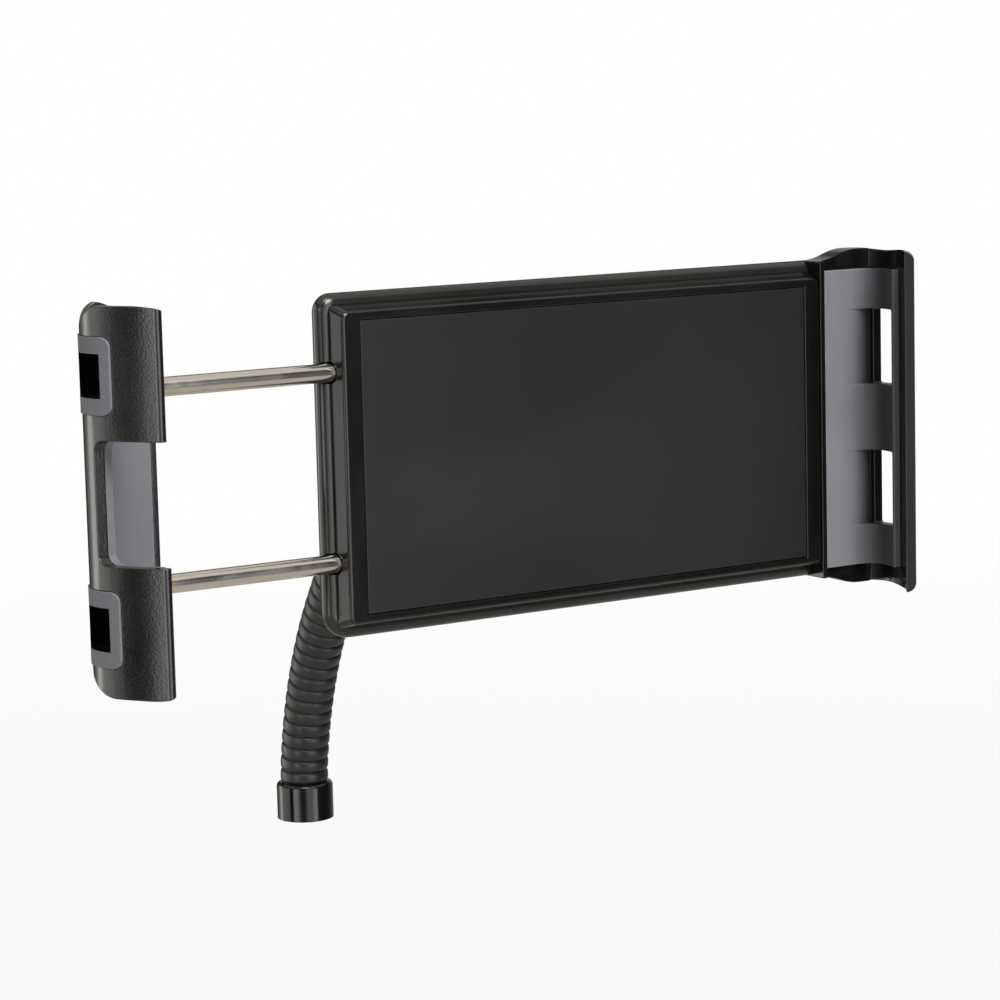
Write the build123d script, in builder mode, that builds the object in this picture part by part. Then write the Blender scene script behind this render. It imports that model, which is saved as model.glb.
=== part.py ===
from build123d import *
import os
from math import atan, cos, degrees, radians, sin, sqrt, tan

os.makedirs("parts", exist_ok=True)

# A spring clamp for a phone or a tablet, on the top of a ribbed gooseneck.
# Millimetres, Z up, X along the rods, the face looks to -Y.
# The origin is the mouth of the threaded socket under the neck's collar.

# General fits
gap = 0.3            # between bodies that move past each other
fit = 0.05           # round a piece that is pressed or screwed in
running = 0.06       # radial, between a rod and its bush
slack = 0.1          # between moulded pieces laid side by side

# Neck
neck_dia = 12.2
neck_groove = 0.55           # depth of the groove between two ribs
rib_pitch = 3.45
groove_width = 0.35
rib_flank = 0.4
neck_bore = 8.3
core_dia = 8.0
seat_depth = 3.0             # how far the sleeve goes into either fitting
core_seat = 0.6              # how far the core goes on below and above that
foot_straight = 4.0          # the neck leaves the collar straight
lower_bend = 30.0            # bend radii of the neck, and their turns in degrees
lower_turn = 8.0
middle_bend = 108.0
middle_turn = 25.8
straight_run = 30.3
upper_bend = 52.2
tail_straight = 12.2         # and enters the ferrule straight

# Collar at the foot of the neck, with an M10 x 1 socket for the stand below it
collar_dia = 14.4
collar_round = 1.6
socket_dia = 9.0
socket_length = 5.0
socket_web = 0.8             # between the socket and the core's seat
collar_wall = 0.9            # at the mouth of the sleeve's seat

# Ferrule and ball stud at the head of the neck
ferrule_dia = 14.4
ferrule_length = 12.0
ferrule_bevel = 1.2
ball_dia = 15.0
stem_dia = 5.6
stem_free = 8.4              # stem showing between the ball and the ferrule
stem_seat = 5.5

# Ball seats, socket and lock ring
seat_wall = 1.0
seat_gap = 0.2
cup_reach = 70.0             # degrees from the axis that the front cup covers
ring_from = 105.0            # degrees from the axis where the rear ring starts
ring_to = 128.0
mouth_angle = 58.0           # half angle of the lock ring's mouth
socket_floor = 1.9
socket_wall = 1.6
flange_dia = 36.0
flange_thick = 2.0
flange_screw_in = 2.8        # the socket's screws, from the flange's edge
lock_wall = 2.6
lock_lip = 2.4               # behind the spherical seat
lock_front_gap = 1.0         # between the flange and the ring
grip_count = 16
grip_radius = 1.1

# Housing
face_width = 125.2           # the front frame's outline at the face
face_height = 65.2
frame_flare = 0.8            # the frame's sides spread this much by the seam, at either end
frame_rise = 1.5             # and this much at top and bottom
frame_corner = 1.6
frame_edge = 0.7
frame_depth = 4.4
shell_depth = 4.4
shell_edge = 2.15            # bullnose round the back shell
shell_swell = 2.2            # the back shell stands this much outside the seam, at its end
shell_rise = 2.3             # and this much at top and bottom
shell_corner = 6.0           # seen from the front, at the bottom
shell_top_corner = 4.0       # and at the top
right_margin = 0.2           # the housing is cut flat this far outside the face, for the fixed jaw
side_border = 4.2            # of the frame beside the panel
top_border = 1.6             # and above and below it
panel_thick = 1.2
panel_gap = 0.15
panel_sunk = 0.1
ledge = 3.4                  # on which the panel lies
back_wall = 1.5
rim_width = 7.5              # solid edge of the back shell round its hollow
bulkhead = 12.6              # solid left end that holds the bushes, from the frame's outline

# Rods, bushes and springs
rod_dia = 4.0
rod_from_edge = 12.55        # the rods' axes, from the face's top or bottom
rod_inner_end = 14.5         # x of the rods' inner ends, as the clamp stands here
bush_dia = 5.6
bush_length = 10.0
spring_dia = 5.2
spring_bore = 4.4
washer_dia = 5.2
washer_thick = 0.8
clip_dia = 5.0
clip_thick = 0.6
clip_groove = 3.2
clip_from_end = 2.0

# Sliding jaw, on the left: its outline is drawn outwards from its inner end
jaw_open = 40.7              # from the housing's left side to the jaw, as it stands here
slide_lower = 1.0            # its inner end is this much lower than the housing
slide_rise = 3.0             # and the lips this much higher than the inner end
slide_flare_from = 2.5       # where the height starts to grow
slide_flare = 10.5           # over this length
slide_round = 4.6            # the wall's top and bottom are rounded along its run
slide_edge = 1.5             # and the lips' along theirs
slide_back_round = 1.9
slide_start = 7.1            # where the back starts to turn into the outer wall
slide_heel = 7.0             # radius of the turn into the wall, and its degrees
slide_heel_turn = 64.0
slide_wall_run = 9.2         # straight part of the wall
slide_toe = 10.0             # radius of the turn into the lips, and its degrees
slide_toe_turn = 54.0
slide_lip = 62.0             # radius of the lips, and their degrees
slide_lip_turn = 12.0
slide_liner_reach = 19.0     # how far forward the liner goes
cutout_half = 12.3           # between the two lips
cutout_from = 9.6            # in front of the face
cutout_round = 2.5
window_front = 14.4          # the windows in the wall, in front of the face
window_back = 1.2            # and behind it
window_height = 15.3
window_below = 5.9           # from the jaw's top or bottom
collar_side = 2.2            # width of the liner's collars, at the sides of their holes
collar_top = 3.35            # and above and below the holes
rod_seat = 12.5              # how deep the rods go into the jaw

# Fixed jaw, on the right
fixed_rise = 2.3             # its end is this much higher than the housing
fixed_flare_from = 0.2
fixed_flare = 12.0
fixed_round = 4.0
fixed_back_round = 2.15      # along the back and the outer edges
fixed_start = 10.4
fixed_heel = 7.0             # radius of the turn into the wall, and its degrees
fixed_heel_turn = 70.0
fixed_nose = 21.7            # radius of the wall up to its lip, and its degrees
fixed_nose_turn = 65.0
fixed_liner_reach = 9.6
hole_front = 8.4            # the windows, in front of the face
hole_back = 0.4              # and behind it
hole_low = 7.6               # from the middle of the jaw
hole_height = 17.4
fixed_pocket = 7.3           # from here the pad rolls back into the windows
fixed_roll = 21.8            # radius of that roll
fixed_roll_turn = 26.0
pad_hollow = 4.0             # radius between a liner's pad and its wall
pad_border = 1.2             # of the shell beside the pad, at the jaw's inner end
tongue_length = 12.0
tongue_half = 14.0
tongue_thick = 2.5

# Both jaws
jaw_wall = 2.2
pad_thick = 1.6
collar_proud = 0.3
window_round = 2.0
liner_short = 2.3            # the liners end this much inside the housing's height
nose_round = 1.0             # on the free ends of the lips
past_lip = 3.0               # cuts run on this far past the lip

# Screws
screw_dia = 2.2
screw_head = 4.2
screw_head_depth = 1.2
drive_width = 2.0
drive_depth = 0.7
screw_from_side = 12.6       # the housing's screws, from the face's outline
screw_from_edge = 3.2
tongue_screw_in = 6.0        # the tongue's screws, from the housing's right end
tongue_screw_z = 9.0

# Derived places
right_end = face_width / 2 + right_margin
panel_width = face_width - 2 * side_border
panel_height = face_height - 2 * top_border
upper_turn = 90.0 - lower_turn - middle_turn
collar_height = socket_length + socket_web + core_seat + seat_depth
sleeve_foot = collar_height - seat_depth
depth = frame_depth + shell_depth
with BuildLine(Plane.YZ) as neck_line:
    foot_run = Line((0, sleeve_foot), (0, sleeve_foot + foot_straight))
    bend_a = JernArc(foot_run @ 1, foot_run % 1, lower_bend, lower_turn)
    bend_b = JernArc(bend_a @ 1, bend_a % 1, middle_bend, middle_turn)
    climb = Line(bend_b @ 1, bend_b @ 1 + (bend_b % 1) * straight_run)
    bend_c = JernArc(climb @ 1, climb % 1, upper_bend, upper_turn)
    tail_run = Line(bend_c @ 1, bend_c @ 1 + (bend_c % 1) * tail_straight)
neck_path = neck_line.wire()
neck_top = neck_path @ 1

head_z = neck_top.Z
ferrule_back = neck_top.Y + seat_depth
ferrule_front = ferrule_back - ferrule_length
ball_r = ball_dia / 2
ball_y = ferrule_front - stem_free - ball_r
seat_in = ball_r + seat_gap
seat_out = seat_in + seat_wall
cavity_r = seat_out + seat_gap
back_y = ball_y - cavity_r - socket_floor
face_y = back_y - depth
seam = frame_depth
half_w = face_width / 2
half_h = face_height / 2
rod_z = half_h - rod_from_edge
shell_half = half_h + frame_rise + shell_rise
housing_screw_x = half_w - screw_from_side
housing_screw_z = half_h - screw_from_edge
tongue_screw_x = right_end - tongue_screw_in
slide_inner_half = shell_half - slide_lower
slide_half = slide_inner_half + slide_rise
fixed_half = shell_half + fixed_rise
liner_half = shell_half - liner_short
left_side = -(half_w + frame_flare + shell_swell)
slide_x = left_side - jaw_open
fixed_x = right_end + slack
bulkhead_x = -half_w + bulkhead
rod_spots = [(seam, rod_z), (seam, -rod_z)]
socket_screw_at = (flange_dia / 2 - flange_screw_in) * sqrt(0.5)
socket_spots = [(x, z) for x in (-socket_screw_at, socket_screw_at) for z in (-socket_screw_at, socket_screw_at)]
slide_turns = [
    (slide_heel, slide_heel_turn), (slide_wall_run, 0), (slide_toe, slide_toe_turn), (slide_lip, slide_lip_turn)
]
fixed_turns = [(fixed_heel, fixed_heel_turn), (fixed_nose, fixed_nose_turn)]
window_high = slide_half - window_below
slide_window = (-window_front, window_back, window_high - window_height, window_high)
slide_hole = (
    -window_front + collar_side,
    window_back - collar_side,
    window_high - window_height + collar_top,
    window_high - collar_top,
)
fixed_hole = (-hole_front, hole_back, hole_low, hole_low + hole_height)
big = 200.0


def face_plane(behind):
    """Plane along the face: X right, Y up, its normal towards the viewer."""
    return Plane(origin=(0, face_y + behind, head_z), x_dir=(1, 0, 0), z_dir=(0, -1, 0))


def end_plane(x):
    """Plane across the rods: X backwards from the face, Y up, its normal to the right."""
    return Plane(origin=(x, face_y, head_z), x_dir=(0, 1, 0), z_dir=(1, 0, 0))


def jaw_plan(x, side):
    """Plane seen from above: X outwards from a jaw's inner end, Y backwards from the face."""
    return Plane(origin=(x, face_y, head_z), x_dir=(side, 0, 0), z_dir=(0, 0, side))


def jaw_front(x, side):
    """Plane seen from the front: X outwards from a jaw's inner end, Y up."""
    return Plane(origin=(x, face_y, head_z), x_dir=(side, 0, 0), z_dir=(0, -side, 0))


def jaw_side(x, side, out):
    """Plane across a jaw, out from its inner end: X backwards from the face."""
    return Plane(origin=(x + side * out, face_y, head_z), x_dir=(0, 1, 0), z_dir=(side, 0, 0))


def hook_face(turns, start, inset, overrun, inner):
    """Area inside a hook's outer surface, drawn in by inset, from its back to its lip."""
    with BuildLine() as edge:
        piece = Line((inner, depth - inset), (start, depth - inset))
        first = piece @ 0
        for size, turn in turns:
            if turn:
                piece = JernArc(piece @ 1, piece % 1, size - inset, -turn)
            else:
                piece = Line(piece @ 1, piece @ 1 + (piece % 1) * size)
        heading = piece % 1
        tip = piece @ 1 + heading * overrun
        inward = Vector(heading.Y, -heading.X)
        corner = tip + inward * ((inner - tip.X) / inward.X)
        if overrun:
            Line(piece @ 1, tip)
        Line(tip, corner)
        Line(corner, first)
    make_face(edge.edges())


def behind_only(limit):
    """Keeps what lies in front of a depth, in a sketch of a jaw's plan."""
    with Locations((0, limit)):
        Rectangle(big, big, align=(Align.CENTER, Align.MAX), mode=Mode.INTERSECT)


def shell_hollow(turns, start):
    """Plan of a shell's hollow: the device's room and the pocket for the liner's pad."""
    hook_face(turns, start, jaw_wall, past_lip, -1)
    behind_only(0)
    with BuildSketch(mode=Mode.PRIVATE) as pocket:
        hook_face(turns, start, jaw_wall, past_lip, pad_border)
        behind_only(pad_thick)
    add(pocket.sketch)


def window_face(window, grow, corner):
    """The upper and the lower window of a jaw, seen from its side."""
    front, back, low, high = window
    for sign in (1, -1):
        with Locations(((front + back) / 2, sign * (low + high) / 2)):
            RectangleRounded(back - front + 2 * grow, high - low + 2 * grow, corner + grow)


def jaw_outline(inner_half, half, flare_from, flare, corner, reach):
    """A jaw's outline from the front: an S-shaped flare, then rounded outer corners."""
    bend = 2 * atan((half - inner_half) / flare)
    radius = flare / (2 * sin(bend))
    with BuildLine() as edge:
        run = Line((0, inner_half), (flare_from, inner_half))
        rise = JernArc(run @ 1, (1, 0), radius, degrees(bend))
        level = JernArc(rise @ 1, rise % 1, radius, -degrees(bend))
        top = Line(level @ 1, (reach - corner, half))
        turn = JernArc(top @ 1, (1, 0), corner, -90)
        side = Line(turn @ 1, (reach, 0))
        mirror(about=Plane.XZ)
        Line((0, -inner_half), (0, inner_half))
    make_face(edge.edges())


def hook_spot(turns, start, count):
    """Where a hook's outer surface stands after some of its pieces, and its heading."""
    out, back, heading = start, depth, 0.0
    for size, turn in turns[:count]:
        old, new = radians(heading), radians(heading + turn)
        if turn:
            out += size * (sin(new) - sin(old))
            back += size * (cos(new) - cos(old))
        else:
            out += size * cos(old)
            back -= size * sin(old)
        heading += turn
    return out, back, heading


def reach_of(turns, start):
    """How far out a hook's outer surface comes: where it heads straight forward."""
    for count, (size, turn) in enumerate(turns):
        out, back, heading = hook_spot(turns, start, count)
        if heading + turn >= 90:
            return out + size * (1 - sin(radians(heading)))
    return out


def outer_rims(x, side, start):
    """Edges round a solid hook's top and bottom, on its back and its outer surface."""
    found = []
    for edge in edges():
        middle, room = edge.center(), edge.bounding_box().size
        crease = edge.geom_type == GeomType.LINE and edge.length > depth
        on_back = middle.Y > face_y + depth - fit
        if room.Z < depth and not crease and (on_back or side * (middle.X - x) > start):
            found.append(edge)
    return found


# Neck sleeve: one ribbed tube, each rib lofted through four circles square to the path
crest = neck_dia / 2
groove = crest - neck_groove
ribbed = neck_path.length - 2 * seat_depth
rib_count = round(ribbed / rib_pitch)
pitch = ribbed / rib_count
rings = [(0.0, groove)]
for rib in range(rib_count):
    rib_start = seat_depth + rib * pitch
    rings.append((rib_start, groove))
    rings.append((rib_start + groove_width, groove))
    rings.append((rib_start + groove_width + rib_flank, crest))
    rings.append((rib_start + pitch - rib_flank, crest))
rings.append((neck_path.length - seat_depth, groove))
rings.append((neck_path.length, groove))

with BuildPart() as neck_sleeve:
    for distance, radius in rings:
        spot = neck_path.position_at(distance, position_mode=PositionMode.LENGTH)
        ahead = neck_path.tangent_at(distance, position_mode=PositionMode.LENGTH)
        with BuildSketch(Plane(origin=spot, x_dir=(1, 0, 0), z_dir=ahead)):
            Circle(radius)
    loft(ruled=True)
    with BuildSketch(Plane(origin=neck_path @ 0, x_dir=(1, 0, 0), z_dir=(0, 0, 1))):
        Circle(neck_bore / 2)
    sweep(path=neck_path, mode=Mode.SUBTRACT)
neck_sleeve.part.label = "neck_sleeve"
export_step(neck_sleeve.part, "parts/neck_sleeve.step")

# Neck core: the bendable bar inside the sleeve, held by both fittings
with BuildLine() as core_line:
    Line((0, 0, sleeve_foot - core_seat), neck_path @ 0)
    add(neck_path)
    Line(neck_top, neck_top - (0, core_seat, 0))
with BuildPart() as neck_core:
    with BuildSketch(Plane.XY.offset(sleeve_foot - core_seat)):
        Circle(core_dia / 2)
    sweep(path=core_line.wire())
neck_core.part.label = "neck_core"
export_step(neck_core.part, "parts/neck_core.step")

# Collar: threaded socket below, seat for the sleeve above
seat_r = groove + fit
core_r = core_dia / 2 + fit
with BuildPart() as collar:
    with BuildSketch(Plane.XZ):
        with BuildLine():
            Polyline(
                (socket_dia / 2, 0),
                (collar_dia / 2, 0),
                (collar_dia / 2, collar_height),
                (seat_r, collar_height),
                (seat_r, sleeve_foot),
                (core_r, sleeve_foot),
                (core_r, sleeve_foot - core_seat - fit),
                (0, sleeve_foot - core_seat - fit),
                (0, socket_length),
                (socket_dia / 2, socket_length),
                close=True,
            )
        make_face()
        outer_corner = vertices().filter_by_position(Axis.Y, collar_height, collar_height).sort_by(Axis.X)[-1]
        fillet(outer_corner, min(collar_round, collar_dia / 2 - seat_r - collar_wall / 2))
    revolve(axis=Axis.Z)
collar.part.label = "collar"
export_step(collar.part, "parts/collar.step")

# Ferrule at the head of the neck, turned, with the ball stud screwed into its front
with BuildPart() as ferrule:
    with BuildSketch(Plane(origin=(0, ferrule_back, head_z), x_dir=(1, 0, 0), z_dir=(0, -1, 0))):
        Circle(ferrule_dia / 2)
    extrude(amount=ferrule_length)
    chamfer(edges().filter_by(GeomType.CIRCLE), ferrule_bevel)
    with BuildSketch(Plane(origin=(0, ferrule_back, head_z), x_dir=(1, 0, 0), z_dir=(0, -1, 0))):
        Circle(seat_r)
    extrude(amount=seat_depth, mode=Mode.SUBTRACT)
    with BuildSketch(Plane(origin=(0, neck_top.Y, head_z), x_dir=(1, 0, 0), z_dir=(0, -1, 0))):
        Circle(core_r)
    extrude(amount=core_seat + fit, mode=Mode.SUBTRACT)
    with BuildSketch(Plane(origin=(0, ferrule_front, head_z), x_dir=(1, 0, 0), z_dir=(0, 1, 0))):
        Circle(stem_dia / 2 + fit)
    extrude(amount=stem_seat + fit, mode=Mode.SUBTRACT)
ferrule.part.label = "neck_ferrule"
export_step(ferrule.part, "parts/neck_ferrule.step")

# Ball stud, turned about its own axis
ball_plane = Plane(origin=(0, ball_y, head_z), x_dir=(1, 0, 0), z_dir=(0, 0, 1))
ball_axis = Axis((0, ball_y, head_z), (0, 1, 0))
stem_r = stem_dia / 2
stem_end = ball_r + stem_free + stem_seat
with BuildPart() as ball_stud:
    with BuildSketch(ball_plane):
        with BuildLine():
            stem_side = Line((stem_r, sqrt(ball_r**2 - stem_r**2)), (stem_r, stem_end))
            Line(stem_side @ 1, (0, stem_end))
            Line((0, stem_end), (0, -ball_r))
            ThreePointArc((0, -ball_r), (ball_r, 0), stem_side @ 0)
        make_face()
    revolve(axis=ball_axis)
ball_stud.part.label = "ball_stud"
export_step(ball_stud.part, "parts/ball_stud.step")


def seat_piece(low, high):
    """Area of a spherical seat between two angles from the front of the axis."""
    a, b = radians(low), radians(high)
    mid = (a + b) / 2
    with BuildLine() as edge:
        inner = ThreePointArc(*[(seat_in * sin(t), -seat_in * cos(t)) for t in (a, mid, b)])
        outer = ThreePointArc(*[(seat_out * sin(t), -seat_out * cos(t)) for t in (a, mid, b)])
        Line(inner @ 0, outer @ 0)
        Line(inner @ 1, outer @ 1)
    make_face(edge.edges())


# The two seats that grip the ball: a cup in front and a ring behind
cup_hole_angle = 12.0
with BuildPart() as friction_cup:
    with BuildSketch(ball_plane):
        seat_piece(cup_hole_angle, cup_reach)
    revolve(axis=ball_axis)
friction_cup.part.label = "friction_cup"
export_step(friction_cup.part, "parts/friction_cup.step")

with BuildPart() as pressure_ring:
    with BuildSketch(ball_plane):
        seat_piece(ring_from, ring_to)
    revolve(axis=ball_axis)
pressure_ring.part.label = "pressure_ring"
export_step(pressure_ring.part, "parts/pressure_ring.step")

# Socket base: a flange screwed to the housing's back, with a threaded barrel
barrel_r = cavity_r + socket_wall
back_plane = Plane(origin=(0, back_y, head_z), x_dir=(-1, 0, 0), z_dir=(0, 1, 0))
with BuildPart() as socket_base:
    with BuildSketch(back_plane):
        Circle(flange_dia / 2)
    extrude(amount=flange_thick)
    chamfer(edges().filter_by(GeomType.CIRCLE).sort_by(Axis.Y)[-1], flange_thick / 3)
    with BuildSketch(back_plane):
        Circle(barrel_r)
    extrude(amount=ball_y - back_y)
    with BuildSketch(ball_plane):
        with BuildLine():
            ThreePointArc((0, cavity_r), (cavity_r, 0), (0, -cavity_r))
            Line((0, -cavity_r), (0, cavity_r))
        make_face()
    revolve(axis=ball_axis, mode=Mode.SUBTRACT)
    with Locations(back_plane.offset(flange_thick)):
        with Locations(*socket_spots):
            CounterSinkHole(screw_dia / 2 + fit, screw_head / 2 + fit, depth=2 * flange_thick)
socket_base.part.label = "socket_base"
export_step(socket_base.part, "parts/socket_base.step")

# Lock ring: screws over the barrel and closes behind the ball, with scallops to grip
lock_in = barrel_r + gap
lock_r = lock_in + lock_wall
lock_start = back_y + flange_thick + lock_front_gap - ball_y
lock_end = cavity_r * cos(radians(mouth_angle)) + lock_lip
mouth = radians(mouth_angle)
mouth_in = (cavity_r * sin(mouth), cavity_r * cos(mouth))
mouth_out = (mouth_in[0] + lock_lip * tan(mouth), lock_end)
with BuildPart() as lock_ring:
    with BuildSketch(ball_plane):
        with BuildLine():
            Polyline(
                (cavity_r, gap),
                (lock_in, gap),
                (lock_in, lock_start),
                (lock_r, lock_start),
                (lock_r, lock_end - lock_lip),
                (lock_r - lock_lip / 2, lock_end),
                (min(mouth_out[0], lock_r - lock_lip / 2 - slack), lock_end),
                mouth_in,
            )
            rise = (radians(90 + 180) - mouth) / 2
            ThreePointArc(mouth_in, (cavity_r * sin(rise), -cavity_r * cos(rise)), (cavity_r, gap))
        make_face()
    revolve(axis=ball_axis)
    with BuildSketch(back_plane.offset(flange_thick)):
        with PolarLocations(lock_r, grip_count):
            Circle(grip_radius)
    extrude(amount=big / 4, mode=Mode.SUBTRACT)
lock_ring.part.label = "lock_ring"
export_step(lock_ring.part, "parts/lock_ring.step")

# Back shell: a bullnosed tray, flat at its right end, that carries the bushes and the socket
shell_w = 2 * (half_w + frame_flare + shell_swell)
shell_h = 2 * shell_half
hollow_right = right_end - ledge
hollow_half = shell_half - rim_width - shell_rise
housing_screws_at = [(x, z) for x in (-housing_screw_x, housing_screw_x) for z in (-housing_screw_z, housing_screw_z)]
tongue_screws_at = [(tongue_screw_x, z) for z in (-tongue_screw_z, tongue_screw_z)]


def rod_cuts():
    """Half-round seats for the bushes, and the holes through which the rods leave."""
    with BuildSketch(end_plane(bulkhead_x)) as seats:
        with Locations(*rod_spots):
            Circle(bush_dia / 2 + fit)
    extrude(seats.sketch, amount=-bush_length, mode=Mode.SUBTRACT)
    with BuildSketch(end_plane(bulkhead_x)) as holes:
        with Locations(*rod_spots):
            Circle(rod_dia / 2 + gap)
    extrude(holes.sketch, amount=-big / 2, mode=Mode.SUBTRACT)


with BuildPart() as back_shell:
    with BuildSketch(face_plane(seam)):
        with Locations((shell_corner, 0)):
            Rectangle(shell_w + 2 * shell_corner, shell_h)
        fillet(vertices().group_by(Axis.Y)[0], shell_corner)
        fillet(vertices().group_by(Axis.Y)[-1], shell_top_corner)
    extrude(amount=-shell_depth)
    fillet(edges().group_by(Axis.Y)[0] + edges().group_by(Axis.Y)[-1], shell_edge)
    with BuildSketch(face_plane(seam)):
        with Locations((right_end, 0)):
            Rectangle(big / 2, big, align=(Align.MIN, Align.CENTER))
    extrude(amount=-shell_depth, mode=Mode.SUBTRACT)
    with BuildSketch(face_plane(seam)):
        with Locations((bulkhead_x, 0)):
            Rectangle(hollow_right - bulkhead_x, 2 * hollow_half, align=(Align.MIN, Align.CENTER))
        with Locations((hollow_right - slack, 0)):
            Rectangle(ledge + 2 * slack, 2 * (tongue_half + slack), align=(Align.MIN, Align.CENTER))
    extrude(amount=-(shell_depth - back_wall), mode=Mode.SUBTRACT)
    with BuildSketch(face_plane(depth - back_wall / 2)):
        with Locations(*socket_spots):
            Circle(screw_dia)
    extrude(amount=back_wall / 2 + shell_depth - back_wall - 2 * gap)
    rod_cuts()
    with Locations(Plane(origin=(0, back_y, head_z), x_dir=(1, 0, 0), z_dir=(0, 1, 0))):
        with Locations(*[(x, -z) for x, z in housing_screws_at + tongue_screws_at]):
            CounterSinkHole(screw_dia / 2 + fit, screw_head / 2 + fit, depth=2 * depth)
        with Locations(*socket_spots):
            Hole(screw_dia / 2 + fit, depth=depth)
back_shell.part.label = "back_shell"
export_step(back_shell.part, "parts/back_shell.step")

# Front frame: flares towards the seam, with a rebate for the panel
with BuildPart() as front_frame:
    with BuildSketch(face_plane(0)):
        RectangleRounded(face_width, face_height, frame_corner)
    with BuildSketch(face_plane(seam)):
        RectangleRounded(face_width + 2 * frame_flare, face_height + 2 * frame_rise, frame_corner)
    loft(ruled=True)
    fillet(edges().group_by(Axis.Y)[0], frame_edge)
    with BuildSketch(face_plane(0)):
        with Locations((right_end, 0)):
            Rectangle(big / 2, big, align=(Align.MIN, Align.CENTER))
    extrude(amount=-frame_depth, mode=Mode.SUBTRACT)
    with BuildSketch(face_plane(0)):
        Rectangle(panel_width, panel_height)
    extrude(amount=-(panel_thick + panel_sunk), mode=Mode.SUBTRACT)
    with BuildSketch(face_plane(0)):
        with Locations((bulkhead_x, 0)):
            Rectangle(
                panel_width / 2 - ledge - bulkhead_x, panel_height - 2 * ledge, align=(Align.MIN, Align.CENTER)
            )
    extrude(amount=-frame_depth, mode=Mode.SUBTRACT)
    rod_cuts()
    with Locations(face_plane(seam)):
        with Locations(*(housing_screws_at + tongue_screws_at)):
            Hole(screw_dia / 2 + fit, depth=2 * (frame_depth - panel_thick - 4 * slack))
front_frame.part.label = "front_frame"
export_step(front_frame.part, "parts/front_frame.step")

# Face panel: a thin sheet laid in the frame's rebate
with BuildPart() as face_panel:
    with BuildSketch(face_plane(panel_sunk)):
        Rectangle(panel_width - 2 * panel_gap, panel_height - 2 * panel_gap)
    extrude(amount=-panel_thick)
    chamfer(edges().group_by(Axis.Y)[0], panel_gap)
face_panel.part.label = "face_panel"
export_step(face_panel.part, "parts/face_panel.step")


# Bushes in the left bulkhead
with BuildPart() as rod_bushes:
    with BuildSketch(end_plane(bulkhead_x)):
        with Locations(*rod_spots):
            Circle(bush_dia / 2)
            Circle(rod_dia / 2 + running, mode=Mode.SUBTRACT)
    extrude(amount=-bush_length)
rod_bushes.part.label = "rod_bushes"
export_step(rod_bushes.part, "parts/rod_bushes.step")

# Rods, each with a groove for its clip near the inner end
rod_outer_end = slide_x - rod_seat
clip_x = rod_inner_end - clip_from_end - clip_thick
for name, z in (("upper_rod", rod_z), ("lower_rod", -rod_z)):
    with BuildPart() as rod:
        with BuildSketch(end_plane(rod_outer_end)):
            with Locations((seam, z)):
                Circle(rod_dia / 2)
        extrude(amount=rod_inner_end - rod_outer_end)
        chamfer(edges().filter_by(GeomType.CIRCLE), rod_dia / 10)
        with BuildSketch(end_plane(clip_x)):
            with Locations((seam, z)):
                Circle(rod_dia)
                Circle(clip_groove / 2, mode=Mode.SUBTRACT)
        extrude(amount=clip_thick, mode=Mode.SUBTRACT)
        with Locations(Plane(origin=(slide_x - rod_seat / 2, back_y, head_z + z), x_dir=(1, 0, 0), z_dir=(0, 1, 0))):
            Hole(screw_dia / 2 + fit, depth=2 * shell_depth)
    rod.part.label = name
    export_step(rod.part, f"parts/{name}.step")

# Springs round the rods, drawn as the tubes that their turns fill
washer_x = clip_x - washer_thick
for name, z in (("upper_spring", rod_z), ("lower_spring", -rod_z)):
    with BuildPart() as spring:
        with BuildSketch(end_plane(bulkhead_x)):
            with Locations((seam, z)):
                Circle(spring_dia / 2)
                Circle(spring_bore / 2, mode=Mode.SUBTRACT)
        extrude(amount=washer_x - bulkhead_x)
    spring.part.label = name
    export_step(spring.part, f"parts/{name}.step")

with BuildPart() as spring_washers:
    with BuildSketch(end_plane(washer_x)):
        with Locations(*rod_spots):
            Circle(washer_dia / 2)
            Circle(rod_dia / 2 + fit, mode=Mode.SUBTRACT)
    extrude(amount=washer_thick)
spring_washers.part.label = "spring_washers"
export_step(spring_washers.part, "parts/spring_washers.step")

with BuildPart() as rod_clips:
    with BuildSketch(end_plane(clip_x)):
        with Locations(*rod_spots):
            Circle(clip_dia / 2)
            Circle(clip_groove / 2 + fit, mode=Mode.SUBTRACT)
            Rectangle(clip_dia, clip_groove * 0.8, align=(Align.MIN, Align.CENTER), mode=Mode.SUBTRACT)
    extrude(amount=clip_thick)
rod_clips.part.label = "rod_clips"
export_step(rod_clips.part, "parts/rod_clips.step")

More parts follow.
